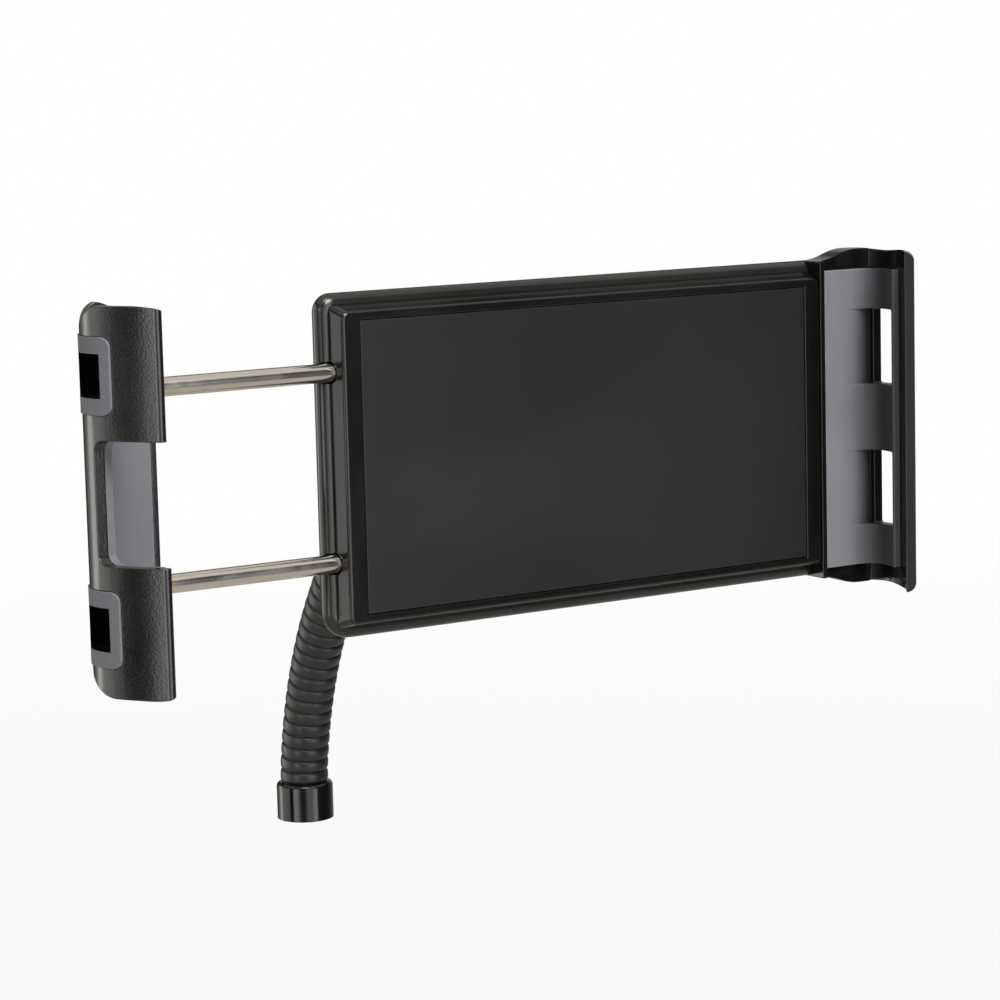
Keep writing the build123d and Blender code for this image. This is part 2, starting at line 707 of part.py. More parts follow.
# Sliding jaw shell: a hook in two lips, cut away between them, with two windows
slide_reach = reach_of(slide_turns, slide_start)
wall_out, wall_back, wall_heading = hook_spot(slide_turns, slide_start, 1)
lip_out, lip_back, lip_heading = hook_spot(slide_turns, slide_start, 3)
along_x, along_y = cos(radians(wall_heading)), sin(radians(wall_heading))
wall_run = Plane(
    origin=(slide_x - wall_out, face_y + wall_back, head_z), x_dir=(-along_y, along_x, 0), z_dir=(-along_x, -along_y, 0)
)
lip_centre = (
    slide_x - lip_out + slide_lip * sin(radians(lip_heading)), face_y + lip_back - slide_lip * cos(radians(lip_heading))
)
with BuildPart() as slide_shell:
    with BuildSketch(jaw_plan(slide_x, -1)):
        hook_face(slide_turns, slide_start, 0, 0, 0)
    extrude(amount=slide_half, both=True)
    with BuildSketch(jaw_front(slide_x, -1)):
        jaw_outline(
            slide_inner_half, slide_half, slide_flare_from, slide_flare, jaw_wall, slide_reach + jaw_wall
        )
    extrude(amount=big / 4, both=True, mode=Mode.INTERSECT)
    with BuildSketch(wall_run):
        RectangleRounded(big, 2 * slide_half, slide_round, align=(Align.MAX, Align.CENTER))
    extrude(amount=big / 4, both=True, mode=Mode.INTERSECT)
    fillet([edge for edge in edges() if edge.center().Y > back_y - fit and edge.length < depth], slide_back_round)
    with BuildSketch(Plane(origin=(*lip_centre, head_z), x_dir=(-1, 0, 0), z_dir=(0, -1, 0))):
        Rectangle(slide_lip, 2 * slide_half, align=(Align.MIN, Align.CENTER))
        fillet(vertices().group_by(Axis.X)[0], slide_edge)
    revolve(axis=Axis((*lip_centre, head_z), (0, 0, 1)), mode=Mode.INTERSECT)
    with BuildSketch(jaw_plan(slide_x, -1)):
        shell_hollow(slide_turns, slide_start)
    extrude(amount=big / 4, both=True, mode=Mode.SUBTRACT)
    with BuildSketch(jaw_side(slide_x, -1, 0)):
        with Locations((-cutout_from, 0)):
            RectangleRounded(big / 4, 2 * cutout_half, cutout_round, align=(Align.MAX, Align.CENTER))
    extrude(amount=big / 4, mode=Mode.SUBTRACT)
    with BuildSketch(jaw_side(slide_x, -1, slide_start)):
        window_face(slide_window, 0, window_round)
    extrude(amount=big / 4, mode=Mode.SUBTRACT)
    with BuildSketch(end_plane(slide_x)):
        with Locations(*rod_spots):
            Circle(rod_dia / 2 + fit)
    extrude(amount=-(rod_seat + fit), mode=Mode.SUBTRACT)
    with Locations(Plane(origin=(slide_x - rod_seat / 2, back_y, head_z), x_dir=(1, 0, 0), z_dir=(0, 1, 0))):
        with Locations((0, rod_z), (0, -rod_z)):
            CounterSinkHole(screw_dia / 2 + fit, screw_head / 2 + fit, depth=shell_depth)
    tip_out, tip_back, tip_heading = hook_spot(slide_turns, slide_start, 4)
    lip_ends = [
        edge for edge in edges().filter_by(Axis.Z)
        if edge.center().Y < face_y + tip_back + jaw_wall and edge.length > slide_round
    ]
    fillet(lip_ends, nose_round)
slide_shell.part.label = "sliding_jaw_shell"
export_step(slide_shell.part, "parts/sliding_jaw_shell.step")


def liner_plan(turns, start, reach):
    """Plan of a soft liner: a pad on the base and a skin up the wall and round the lip."""
    hook_face(turns, start, jaw_wall + fit, past_lip, pad_border + fit)
    behind_only(pad_thick - fit)
    with Locations((0, -reach)):
        Rectangle(big, big, align=(Align.CENTER, Align.MIN), mode=Mode.INTERSECT)


def liner_hollow(turns, start):
    """Plan of the room that a liner leaves for the device, hollowed where pad meets wall."""
    hook_face(turns, start, jaw_wall + pad_thick, past_lip, -1)
    behind_only(0)
    fillet(vertices().group_by(Axis.Y)[-1].sort_by(Axis.X)[-1], pad_hollow)


# Sliding jaw liner: its collars come out through the shell's windows
with BuildPart() as slide_collars:
    with BuildSketch(jaw_plan(slide_x, -1)):
        hook_face(slide_turns, slide_start, -collar_proud, 0, 0)
    extrude(amount=slide_half, both=True)
    with BuildSketch(jaw_plan(slide_x, -1)):
        hook_face(slide_turns, slide_start, jaw_wall + pad_thick / 2, past_lip, -1)
    extrude(amount=big / 4, both=True, mode=Mode.SUBTRACT)
    with BuildSketch(jaw_side(slide_x, -1, slide_start)):
        window_face(slide_window, -fit, window_round)
    extrude(amount=big / 4, mode=Mode.INTERSECT)
with BuildPart() as slide_liner:
    with BuildSketch(jaw_plan(slide_x, -1)):
        liner_plan(slide_turns, slide_start, slide_liner_reach)
    extrude(amount=liner_half, both=True)
    add(slide_collars.part)
    with BuildSketch(jaw_plan(slide_x, -1)):
        liner_hollow(slide_turns, slide_start)
    extrude(amount=big / 4, both=True, mode=Mode.SUBTRACT)
    with BuildSketch(jaw_side(slide_x, -1, 0)):
        with Locations((-cutout_from + slack, 0)):
            RectangleRounded(
                big / 4, 2 * (cutout_half + slack), cutout_round, align=(Align.MAX, Align.CENTER)
            )
    extrude(amount=big / 4, mode=Mode.SUBTRACT)
    with BuildSketch(jaw_side(slide_x, -1, slide_start)):
        window_face(slide_hole, 0, window_round / 3)
    extrude(amount=big / 4, mode=Mode.SUBTRACT)
slide_liner.part.label = "sliding_jaw_liner"
export_step(slide_liner.part, "parts/sliding_jaw_liner.step")

# Fixed jaw shell: one full hook, with a tongue that is screwed inside the housing
fixed_reach = reach_of(fixed_turns, fixed_start)
tongue_back = depth - back_wall - slack
with BuildPart() as fixed_shell:
    with BuildSketch(jaw_plan(fixed_x, 1)):
        hook_face(fixed_turns, fixed_start, 0, 0, 0)
    extrude(amount=fixed_half, both=True)
    with BuildSketch(jaw_front(fixed_x, 1)):
        jaw_outline(
            shell_half, fixed_half, fixed_flare_from, fixed_flare, fixed_round, fixed_reach + slack
        )
    extrude(amount=big / 4, both=True, mode=Mode.INTERSECT)
    fillet(outer_rims(fixed_x, 1, fixed_start), fixed_back_round)
    with BuildSketch(jaw_plan(fixed_x, 1)):
        shell_hollow(fixed_turns, fixed_start)
    extrude(amount=big / 4, both=True, mode=Mode.SUBTRACT)
    with BuildSketch(jaw_side(fixed_x, 1, fixed_start)):
        window_face(fixed_hole, 0, window_round / 4)
    extrude(amount=big / 4, mode=Mode.SUBTRACT)
    with BuildSketch(end_plane(fixed_x)):
        with Locations((tongue_back, 0)):
            Rectangle(tongue_thick, 2 * tongue_half, align=(Align.MAX, Align.CENTER))
    extrude(amount=-tongue_length)
    with Locations(Plane(origin=(0, back_y, head_z), x_dir=(1, 0, 0), z_dir=(0, 1, 0))):
        with Locations(*tongue_screws_at):
            Hole(screw_dia / 2 + fit, depth=depth)
fixed_shell.part.label = "fixed_jaw_shell"
export_step(fixed_shell.part, "parts/fixed_jaw_shell.step")

# Fixed jaw liner: its pad rolls back into the windows
with BuildPart() as fixed_roll_cut:
    with BuildSketch(jaw_plan(fixed_x, 1)):
        with BuildLine():
            roll = JernArc((fixed_pocket, 0), (1, 0), fixed_roll, fixed_roll_turn)
            Polyline(
                roll @ 1, roll @ 1 + (roll % 1) * big / 4, (big / 4, -big / 4), (fixed_pocket, -big / 4), roll @ 0
            )
        make_face()
    extrude(amount=fixed_half, both=True)
    with BuildSketch(jaw_side(fixed_x, 1, 0)):
        window_face((-hole_front, big / 8, hole_low, hole_low + hole_height), 0, window_round / 4)
    extrude(amount=big / 4, mode=Mode.INTERSECT)
with BuildPart() as fixed_liner:
    with BuildSketch(jaw_plan(fixed_x, 1)):
        liner_plan(fixed_turns, fixed_start, fixed_liner_reach)
    extrude(amount=liner_half, both=True)
    with BuildSketch(jaw_plan(fixed_x, 1)):
        liner_hollow(fixed_turns, fixed_start)
    extrude(amount=big / 4, both=True, mode=Mode.SUBTRACT)
    add(fixed_roll_cut.part, mode=Mode.SUBTRACT)
fixed_liner.part.label = "fixed_jaw_liner"
export_step(fixed_liner.part, "parts/fixed_jaw_liner.step")


def screws(spots, length, plane):
    """Countersunk screws with cross slots, heads on the plane, shanks against its normal."""
    hang = (Align.CENTER, Align.CENTER, Align.MAX)
    with Locations(plane):
        with Locations(*spots):
            Cylinder(screw_dia / 2, length, align=hang)
            Cone(screw_dia / 2, screw_head / 2, screw_head_depth, align=hang)
            Box(drive_width, drive_width / 4, drive_depth, align=hang, mode=Mode.SUBTRACT)
            Box(drive_width / 4, drive_width, drive_depth, align=hang, mode=Mode.SUBTRACT)


rear_face = Plane(origin=(0, back_y, head_z), x_dir=(-1, 0, 0), z_dir=(0, 1, 0))
with BuildPart() as housing_screws:
    screws([(-x, z) for x, z in housing_screws_at + tongue_screws_at], depth - panel_thick - 4 * slack, rear_face)
housing_screws.part.label = "housing_screws"
export_step(housing_screws.part, "parts/housing_screws.step")

with BuildPart() as jaw_screws:
    screws([(-slide_x + rod_seat / 2, z) for z in (rod_z, -rod_z)], shell_depth + rod_dia / 4, rear_face)
jaw_screws.part.label = "jaw_screws"
export_step(jaw_screws.part, "parts/jaw_screws.step")

with BuildPart() as socket_screws:
    screws(socket_spots, flange_thick + shell_depth - 3 * gap, rear_face.offset(flange_thick))
socket_screws.part.label = "socket_screws"
export_step(socket_screws.part, "parts/socket_screws.step")

print("neck path", round(neck_path.length, 2), "ribs", rib_count, "pitch", round(pitch, 3))
print("head at z", round(head_z, 2), "face y", round(face_y, 2), "back y", round(back_y, 2), "ball y", round(ball_y, 2))
print("sliding jaw from x", round(slide_x, 2), "reach", round(slide_reach, 2), "fixed reach", round(fixed_reach, 2))
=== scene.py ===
import math

import bmesh
import bpy
from mathutils import Matrix, Vector


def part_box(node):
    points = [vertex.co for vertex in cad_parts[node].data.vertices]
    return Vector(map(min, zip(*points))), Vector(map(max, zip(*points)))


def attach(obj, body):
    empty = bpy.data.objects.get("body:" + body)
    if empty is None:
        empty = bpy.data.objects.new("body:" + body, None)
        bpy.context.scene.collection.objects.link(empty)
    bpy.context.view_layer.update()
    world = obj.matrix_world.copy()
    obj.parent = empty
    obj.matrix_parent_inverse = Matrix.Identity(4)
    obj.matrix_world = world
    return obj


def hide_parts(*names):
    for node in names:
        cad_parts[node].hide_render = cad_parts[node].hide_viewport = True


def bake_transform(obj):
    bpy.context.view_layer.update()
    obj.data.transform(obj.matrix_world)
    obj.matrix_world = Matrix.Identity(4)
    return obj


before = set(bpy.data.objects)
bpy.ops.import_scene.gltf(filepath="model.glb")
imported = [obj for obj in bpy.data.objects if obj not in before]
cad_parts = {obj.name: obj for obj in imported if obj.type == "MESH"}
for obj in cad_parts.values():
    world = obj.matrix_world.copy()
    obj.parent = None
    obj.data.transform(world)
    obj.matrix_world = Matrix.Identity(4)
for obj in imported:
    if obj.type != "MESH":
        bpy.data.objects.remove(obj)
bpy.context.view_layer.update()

scene = bpy.context.scene
scene.view_settings.view_transform = "Standard"
print("stage: the packed model is in")


# helpers for working as by hand

samePlace = 0.00001         # metres within which two places count as one
mergeWithin = 0.000001      # and within which corners become one


def deselectAll():
    if bpy.context.object and bpy.context.object.mode != "OBJECT":
        bpy.ops.object.mode_set(mode="OBJECT")
    bpy.ops.object.select_all(action="DESELECT")


def pick(piece):
    deselectAll()
    piece.select_set(True)
    bpy.context.view_layer.objects.active = piece


def applyAll(piece):
    pick(piece)
    for name in [modifier.name for modifier in piece.modifiers]:
        bpy.ops.object.modifier_apply(modifier=name)


def settle(piece, name):
    # its place, turn and size go into its mesh
    pick(piece)
    bpy.ops.object.transform_apply(location=True, rotation=True, scale=True)
    piece.name = name
    piece.data.name = name


def mark(piece, wanted):
    # in edit mode: selects the vertices that pass a test, and the edges and faces between them
    bpy.ops.mesh.select_all(action="DESELECT")
    mesh = bmesh.from_edit_mesh(piece.data)
    for corner in mesh.verts:
        if wanted(corner.co):
            corner.select_set(True)
    mesh.select_flush(True)
    bmesh.update_edit_mesh(piece.data)


def extrudeAlong(distance):
    # in edit mode: the selected edges along x, or on the spot, ready for widen
    bpy.ops.mesh.extrude_region_move(TRANSFORM_OT_translate={"value": (distance, 0, 0)})


def widen(factor, x):
    # in edit mode: the selected ring round the x axis
    bpy.ops.transform.resize(value=(1, factor, factor), center_override=(x, 0, 0))


def faceOutwards(piece):
    pick(piece)
    bpy.ops.object.mode_set(mode="EDIT")
    bpy.ops.mesh.select_all(action="SELECT")
    bpy.ops.mesh.remove_doubles(threshold=mergeWithin)
    bpy.ops.mesh.normals_make_consistent(inside=False)
    bpy.ops.object.mode_set(mode="OBJECT")


# helpers for node trees

def clearTree(owner):
    # owner is a material or the world
    owner.use_nodes = True
    owner.node_tree.nodes.clear()
    return owner.node_tree


def newNode(tree, kind, inputs=None, **settings):
    # each input is a value, a colour of three parts, or another node's output
    node = tree.nodes.new(kind)
    for name, value in settings.items():
        setattr(node, name, value)
    for label, source in (inputs or {}).items():
        socket = node.inputs[label]
        if isinstance(source, bpy.types.NodeSocket):
            tree.links.new(source, socket)
        elif socket.type == "RGBA":
            socket.default_value = (*source, 1)
        else:
            socket.default_value = source
    return node


def reckon(tree, operation, *sources):
    return newNode(tree, "ShaderNodeMath", dict(enumerate(sources)), operation=operation).outputs[0]


def remap(tree, source, old, new=(0, 1), ease="LINEAR"):
    # turns the range old into the range new, and stays level beyond its ends
    inputs = {"Value": source, "From Min": old[0], "From Max": old[1], "To Min": new[0], "To Max": new[1]}
    return newNode(tree, "ShaderNodeMapRange", inputs, interpolation_type=ease).outputs["Result"]


def mixColours(tree, amount, first, second):
    inputs = {"Factor": amount, "A": first, "B": second}
    return newNode(tree, "ShaderNodeMix", inputs, data_type="RGBA").outputs["Result"]


def mixShaders(tree, amount, first, second):
    return newNode(tree, "ShaderNodeMixShader", {0: amount, 1: first, 2: second}).outputs[0]


def objectPlace(tree):
    return newNode(tree, "ShaderNodeTexCoord").outputs["Object"]


# camera, where the photograph's stood

photoCamera = {
    "place": (-0.39273, -0.70397, 0.19127),
    "turn": 32.85,          # degrees to the right of straight ahead
    "dip": 7.82,            # degrees below level
    "roll": -1.41,
    "lens": 115.2,          # millimetres, as the sensor's width
    "sensor": 36,
    "sees": (0.01, 30),     # metres, from the nearest to the farthest
}


def makeCamera(values):
    turn, dip, roll = (math.radians(values[key]) for key in ("turn", "dip", "roll"))
    ahead = Vector((math.sin(turn) * math.cos(dip), math.cos(turn) * math.cos(dip), -math.sin(dip)))
    level = Vector((math.cos(turn), -math.sin(turn), 0))
    above = level.cross(ahead)
    right = level * math.cos(roll) + above * math.sin(roll)
    up = above * math.cos(roll) - level * math.sin(roll)
    facing = Matrix((right, up, -ahead)).transposed().to_4x4()
    bpy.ops.object.camera_add()
    camera = bpy.context.object
    camera.name = "photoCamera"
    camera.data.sensor_width = values["sensor"]
    camera.data.lens = values["lens"]
    camera.data.clip_start, camera.data.clip_end = values["sees"]
    camera.matrix_world = Matrix.Translation(values["place"]) @ facing
    scene.camera = camera


makeCamera(photoCamera)


# light: two soft boxes, and a pale room that gloss sees in bright and dark zones, as the photograph shows

room = {
    "fill": 0.30,                       # on diffuse surfaces
    "fillTint": (1.0, 0.985, 0.96),
    "around": (                         # what gloss sees at eye level, in shares of a turn from the front
        (0.00, (1.60, 1.60, 1.60)), (0.050, (1.80, 1.78, 1.74)), (0.079, (0.22, 0.218, 0.21)),
        (0.125, (0.18, 0.178, 0.17)), (0.139, (0.75, 0.74, 0.72)), (0.170, (3.0, 2.97, 2.92)),
        (0.207, (3.4, 3.37, 3.30)), (0.218, (0.80, 0.79, 0.77)), (0.227, (0.01, 0.01, 0.01)),
        (0.257, (0.01, 0.01, 0.01)), (0.269, (1.35, 1.33, 1.29)), (0.330, (1.6, 1.57, 1.50)),
        (0.365, (1.4, 1.37, 1.30)), (0.390, (3.2, 3.10, 2.94)), (0.420, (2.8, 2.72, 2.57)),
        (0.440, (0.70, 0.68, 0.64)), (0.490, (0.20, 0.195, 0.18)), (0.510, (0.03, 0.029, 0.027)),
        (0.548, (0.04, 0.038, 0.035)), (0.580, (0.46, 0.44, 0.41)), (0.700, (0.30, 0.28, 0.26)),
        (0.780, (0.07, 0.065, 0.06)), (0.860, (0.02, 0.019, 0.018)), (0.892, (0.05, 0.049, 0.048)),
        (0.914, (0.09, 0.089, 0.088)), (0.934, (0.15, 0.15, 0.15)), (0.945, (3.40, 3.40, 3.40)),
        (0.975, (3.20, 3.20, 3.20)), (1.00, (1.60, 1.60, 1.60)),
    ),
    "ground": (0.56, 0.53, 0.48),
    "groundFade": (-0.46, -0.24),       # height of a direction, from -1 to 1, where the ground gives way
    "gap": (0.035, 0.034, 0.032),       # between the walls and the ceiling
    "gapFade": (0.30, 0.52),
    "overhead": (0.75, 0.72, 0.67),
    "overheadFade": (0.58, 0.70),
}

lamps = {       # metres and watts; aim is the point that a lamp faces
    "keyBox": {
        "place": (0.02, -1.32, 1.20), "aim": (0, -0.13, 0.11),
        "size": (0.7, 0.7), "watts": 25, "tint": (1, 0.99, 0.985),
    },
    "topBox": {
        "place": (-0.35, -0.75, 1.45), "aim": (0, -0.13, 0.11),
        "size": (0.6, 0.5), "watts": 7, "tint": (1, 0.99, 0.97),
    },
}


def makeLamps(values):
    for name, lamp in values.items():
        bpy.ops.object.light_add(type="AREA", location=lamp["place"])
        light = bpy.context.object
        light.name = name
        light.data.shape = "RECTANGLE"
        light.data.size, light.data.size_y = lamp["size"]
        light.data.energy = lamp["watts"]
        light.data.color = lamp["tint"]
        light.visible_camera = False
        way = Vector(lamp["aim"]) - Vector(lamp["place"])
        light.rotation_euler = way.to_track_quat("-Z", "Y").to_euler()


def makeWorld(values):
    world = bpy.data.worlds.new("paleRoom")
    scene.world = world
    tree = clearTree(world)

    way = newNode(tree, "ShaderNodeTexCoord").outputs["Generated"]
    across, along, height = newNode(tree, "ShaderNodeSeparateXYZ", {"Vector": way}).outputs
    compass = remap(tree, reckon(tree, "ARCTAN2", across, along), (-math.pi, math.pi))
    ring = newNode(tree, "ShaderNodeValToRGB", {"Fac": compass})
    stops = ring.color_ramp.elements    # a new ramp has one at 0 and one at 1
    (_, first), *between, (_, last) = values["around"]
    stops[0].color, stops[1].color = (*first, 1), (*last, 1)
    for spot, colour in between:
        stops.new(spot).color = (*colour, 1)

    def rise(name):
        return remap(tree, height, values[name], ease="SMOOTHSTEP")

    low = mixColours(tree, rise("groundFade"), values["ground"], ring.outputs["Color"])
    middle = mixColours(tree, rise("gapFade"), low, values["gap"])
    whole = mixColours(tree, rise("overheadFade"), middle, values["overhead"])

    def background(colour, strength=1):
        return newNode(tree, "ShaderNodeBackground", {"Color": colour, "Strength": strength}).outputs[0]

    rays = newNode(tree, "ShaderNodeLightPath").outputs
    seen = reckon(tree, "MAXIMUM", rays["Is Camera Ray"], rays["Is Transmission Ray"])
    fill = background(values["fillTint"], values["fill"])
    lit = mixShaders(tree, rays["Is Glossy Ray"], fill, background(whole))
    newNode(tree, "ShaderNodeOutputWorld", {"Surface": mixShaders(tree, seen, lit, background((1, 1, 1)))})


makeWorld(room)
makeLamps(lamps)
print("stage: camera, room and lamps")


# floor, well below the stand, which the photograph shows cut off in the air

floorValues = {
    "height": -0.26,
    "size": 30,
    "paint": (0.86, 0.86, 0.85),
    "white": (0.88, 1.0),       # share of plain white near the stand and far from it
    "whiteFrom": (0.5, 2.4),    # metres from the stand
}


def makeFloor(values):
    bpy.ops.mesh.primitive_plane_add(size=values["size"], location=(0, 0, values["height"]))
    floor = bpy.context.object
    floor.name = "floor"
    material = bpy.data.materials.new("palePaper")
    tree = clearTree(material)
    away = newNode(tree, "ShaderNodeVectorMath", {0: objectPlace(tree)}, operation="LENGTH").outputs["Value"]
    white = remap(tree, away, values["whiteFrom"], values["white"])
    share = reckon(tree, "MULTIPLY", newNode(tree, "ShaderNodeLightPath").outputs["Is Camera Ray"], white)
    paper = newNode(tree, "ShaderNodeBsdfDiffuse", {"Color": values["paint"]}).outputs[0]
    glow = newNode(tree, "ShaderNodeEmission").outputs[0]
    newNode(tree, "ShaderNodeOutputMaterial", {"Surface": mixShaders(tree, share, paper, glow)})
    floor.data.materials.append(material)
    floor.visible_glossy = False    # gloss sees the room instead


makeFloor(floorValues)
print("stage: floor")


# shared effects

def newGroup(name, inputs, outputs):
    # an input given as three parts is a vector, and all the others are plain numbers
    tree = bpy.data.node_groups.new(name, "ShaderNodeTree")
    for label, value in inputs.items():
        kind = "NodeSocketVector" if isinstance(value, tuple) else "NodeSocketFloat"
        tree.interface.new_socket(label, in_out="INPUT", socket_type=kind).default_value = value
    for label in outputs:
        tree.interface.new_socket(label, in_out="OUTPUT", socket_type="NodeSocketFloat")
    return tree, newNode(tree, "NodeGroupInput").outputs


grainLook = {
    "cellSoftness": 0.6,
    "noiseDetail": 3,
    "noiseRoughness": 0.6,
    "shadeScale": 90,       # slow unevenness of the colour
    "shadeDetail": 4,
}


def makeGrain(look):
    # fine moulded grain: cells and noise mixed, as a height from 0 to 1
    inputs = {"Scale": 1500, "Cells": 0.5, "Stretch": (1, 1, 1)}
    tree, given = newGroup("mouldedGrain", inputs, ("Height", "Shade"))
    stretched = newNode(tree, "ShaderNodeVectorMath", {
        0: objectPlace(tree), 1: given["Stretch"],
    }, operation="MULTIPLY").outputs[0]
    cells = newNode(tree, "ShaderNodeTexVoronoi", {
        "Vector": stretched, "Scale": given["Scale"], "Smoothness": look["cellSoftness"],
    }, feature="SMOOTH_F1")
    noise = newNode(tree, "ShaderNodeTexNoise", {
        "Vector": stretched, "Scale": given["Scale"],
        "Detail": look["noiseDetail"], "Roughness": look["noiseRoughness"],
    })
    mix = newNode(tree, "ShaderNodeMix", {
        "Factor": given["Cells"], "A": noise.outputs["Fac"], "B": cells.outputs["Distance"],
    })
    shade = newNode(tree, "ShaderNodeTexNoise", {
        "Vector": stretched, "Scale": look["shadeScale"], "Detail": look["shadeDetail"],
    })
    newNode(tree, "NodeGroupOutput", {"Height": mix.outputs["Result"], "Shade": shade.outputs["Fac"]})
    return tree


handlingLook = {
    "smearDetail": 5,
    "smearDistortion": 0.8,
    "smearRange": (0.38, 0.68),
    "speckRange": (0.10, 0.04),     # distance from a speck's middle, as a share of a cell
}


def makeHandling(look):
    # touch marks and dust: a slow patchy mask, and fine specks where it lies
    inputs = {"Patches": 28, "Specks": 900, "Dust": 0.5}
    tree, given = newGroup("handling", inputs, ("Smear", "Speck"))
    where = objectPlace(tree)
    patches = newNode(tree, "ShaderNodeTexNoise", {
        "Vector": where, "Scale": given["Patches"],
        "Detail": look["smearDetail"], "Distortion": look["smearDistortion"],
    })
    smear = remap(tree, patches.outputs["Fac"], look["smearRange"], ease="SMOOTHSTEP")
    specks = newNode(tree, "ShaderNodeTexVoronoi", {"Vector": where, "Scale": given["Specks"]})
    near = remap(tree, specks.outputs["Distance"], look["speckRange"])
    dust = reckon(tree, "MULTIPLY", near, given["Dust"])
    newNode(tree, "NodeGroupOutput", {"Smear": smear, "Speck": reckon(tree, "MULTIPLY", dust, smear)})
    return tree


bevelSamples = 6        # rays by which a rounded normal is found

edgeLook = {
    "radius": 0.00045,
    "turnRange": (0.985, 0.86),     # how far the normals agree, at the start and the height of the wear, and of the painted highlight on the grey rubber
    "breakupDetail": 3,
}


def makeEdges(look):
    # edges and corners, from how far a rounded normal turns away from the face
    tree, given = newGroup("edgeWearAndHighlight", {"Breakup": 400}, ("Edge",))
    rounded = newNode(tree, "ShaderNodeBevel", {"Radius": look["radius"]}, samples=bevelSamples)
    plain = newNode(tree, "ShaderNodeNewGeometry").outputs["Normal"]
    agree = newNode(tree, "ShaderNodeVectorMath", {0: rounded.outputs[0], 1: plain}, operation="DOT_PRODUCT")
    edge = remap(tree, agree.outputs["Value"], look["turnRange"])
    noise = newNode(tree, "ShaderNodeTexNoise", {
        "Vector": objectPlace(tree), "Scale": given["Breakup"], "Detail": look["breakupDetail"],
    })
    newNode(tree, "NodeGroupOutput", {"Edge": reckon(tree, "MULTIPLY", edge, noise.outputs["Fac"])})
    return tree


def makePaintedWindowShade():
    # painted shade: the walls of a pair of windows, one above and one below a level, as a mask
    inputs = {"Level": 0, "Depth": 0, "Depth Half": 0.001, "Height": 0, "Height Half": 0.001}
    tree, given = newGroup("paintedWindowShade", inputs, ("Inside",))
    place = newNode(tree, "ShaderNodeSeparateXYZ", {"Vector": objectPlace(tree)}).outputs
    fromLevel = reckon(tree, "ABSOLUTE", reckon(tree, "SUBTRACT", place["Z"], given["Level"]))
    tall = reckon(tree, "COMPARE", fromLevel, given["Height"], given["Height Half"])
    deep = reckon(tree, "COMPARE", place["Y"], given["Depth"], given["Depth Half"])
    newNode(tree, "NodeGroupOutput", {"Inside": reckon(tree, "MULTIPLY", tall, deep)})
    return tree


def makePaintedCornerShade():
    # painted shade: the inside corner of a hook, darker towards its far end, as a mask
    inputs = {"From X": 0, "To X": 1, "From Y": 0, "To Y": 1}
    tree, given = newGroup("cornerShade", inputs, ("Inside",))
    place = newNode(tree, "ShaderNodeSeparateXYZ", {"Vector": objectPlace(tree)}).outputs
    fades = [
        remap(tree, place[letter], (given["From " + letter], given["To " + letter]), ease="SMOOTHSTEP")
        for letter in "XY"
    ]
    newNode(tree, "NodeGroupOutput", {"Inside": reckon(tree, "MULTIPLY", *fades)})
    return tree


grainGroup, handlingGroup, edgeGroup = makeGrain(grainLook), makeHandling(handlingLook), makeEdges(edgeLook)
paintedWindowShadeGroup, paintedCornerShadeGroup = makePaintedWindowShade(), makePaintedCornerShade()


# finishes, one dictionary each: colours where a surface is clean, marked by hands and rubbed at its edges,
# with a painted highlight on the grey rubber's edges, rough from clean to marked, lengths in metres, and
# grain, patches, specks and breakup as so many in a metre

plainFinish = {     # what most of them share
    "metal": 0, "specular": 0.5, "cells": 0, "stretch": (1, 1, 1), "grainRough": 0.03, "breakup": 420,
}
greyRubber = {
    **plainFinish,
    # the edge colour is partly rubbed wear and partly a painted highlight along the liners' rims
    "edge": (0.30, 0.296, 0.315), "rough": (0.55, 0.68), "specular": 0.35, "edgeRound": 0.0003,
    "grain": 3600, "cells": 0.2, "bump": 0.00002, "patches": 36, "specks": 1000, "dust": 0.6,
}

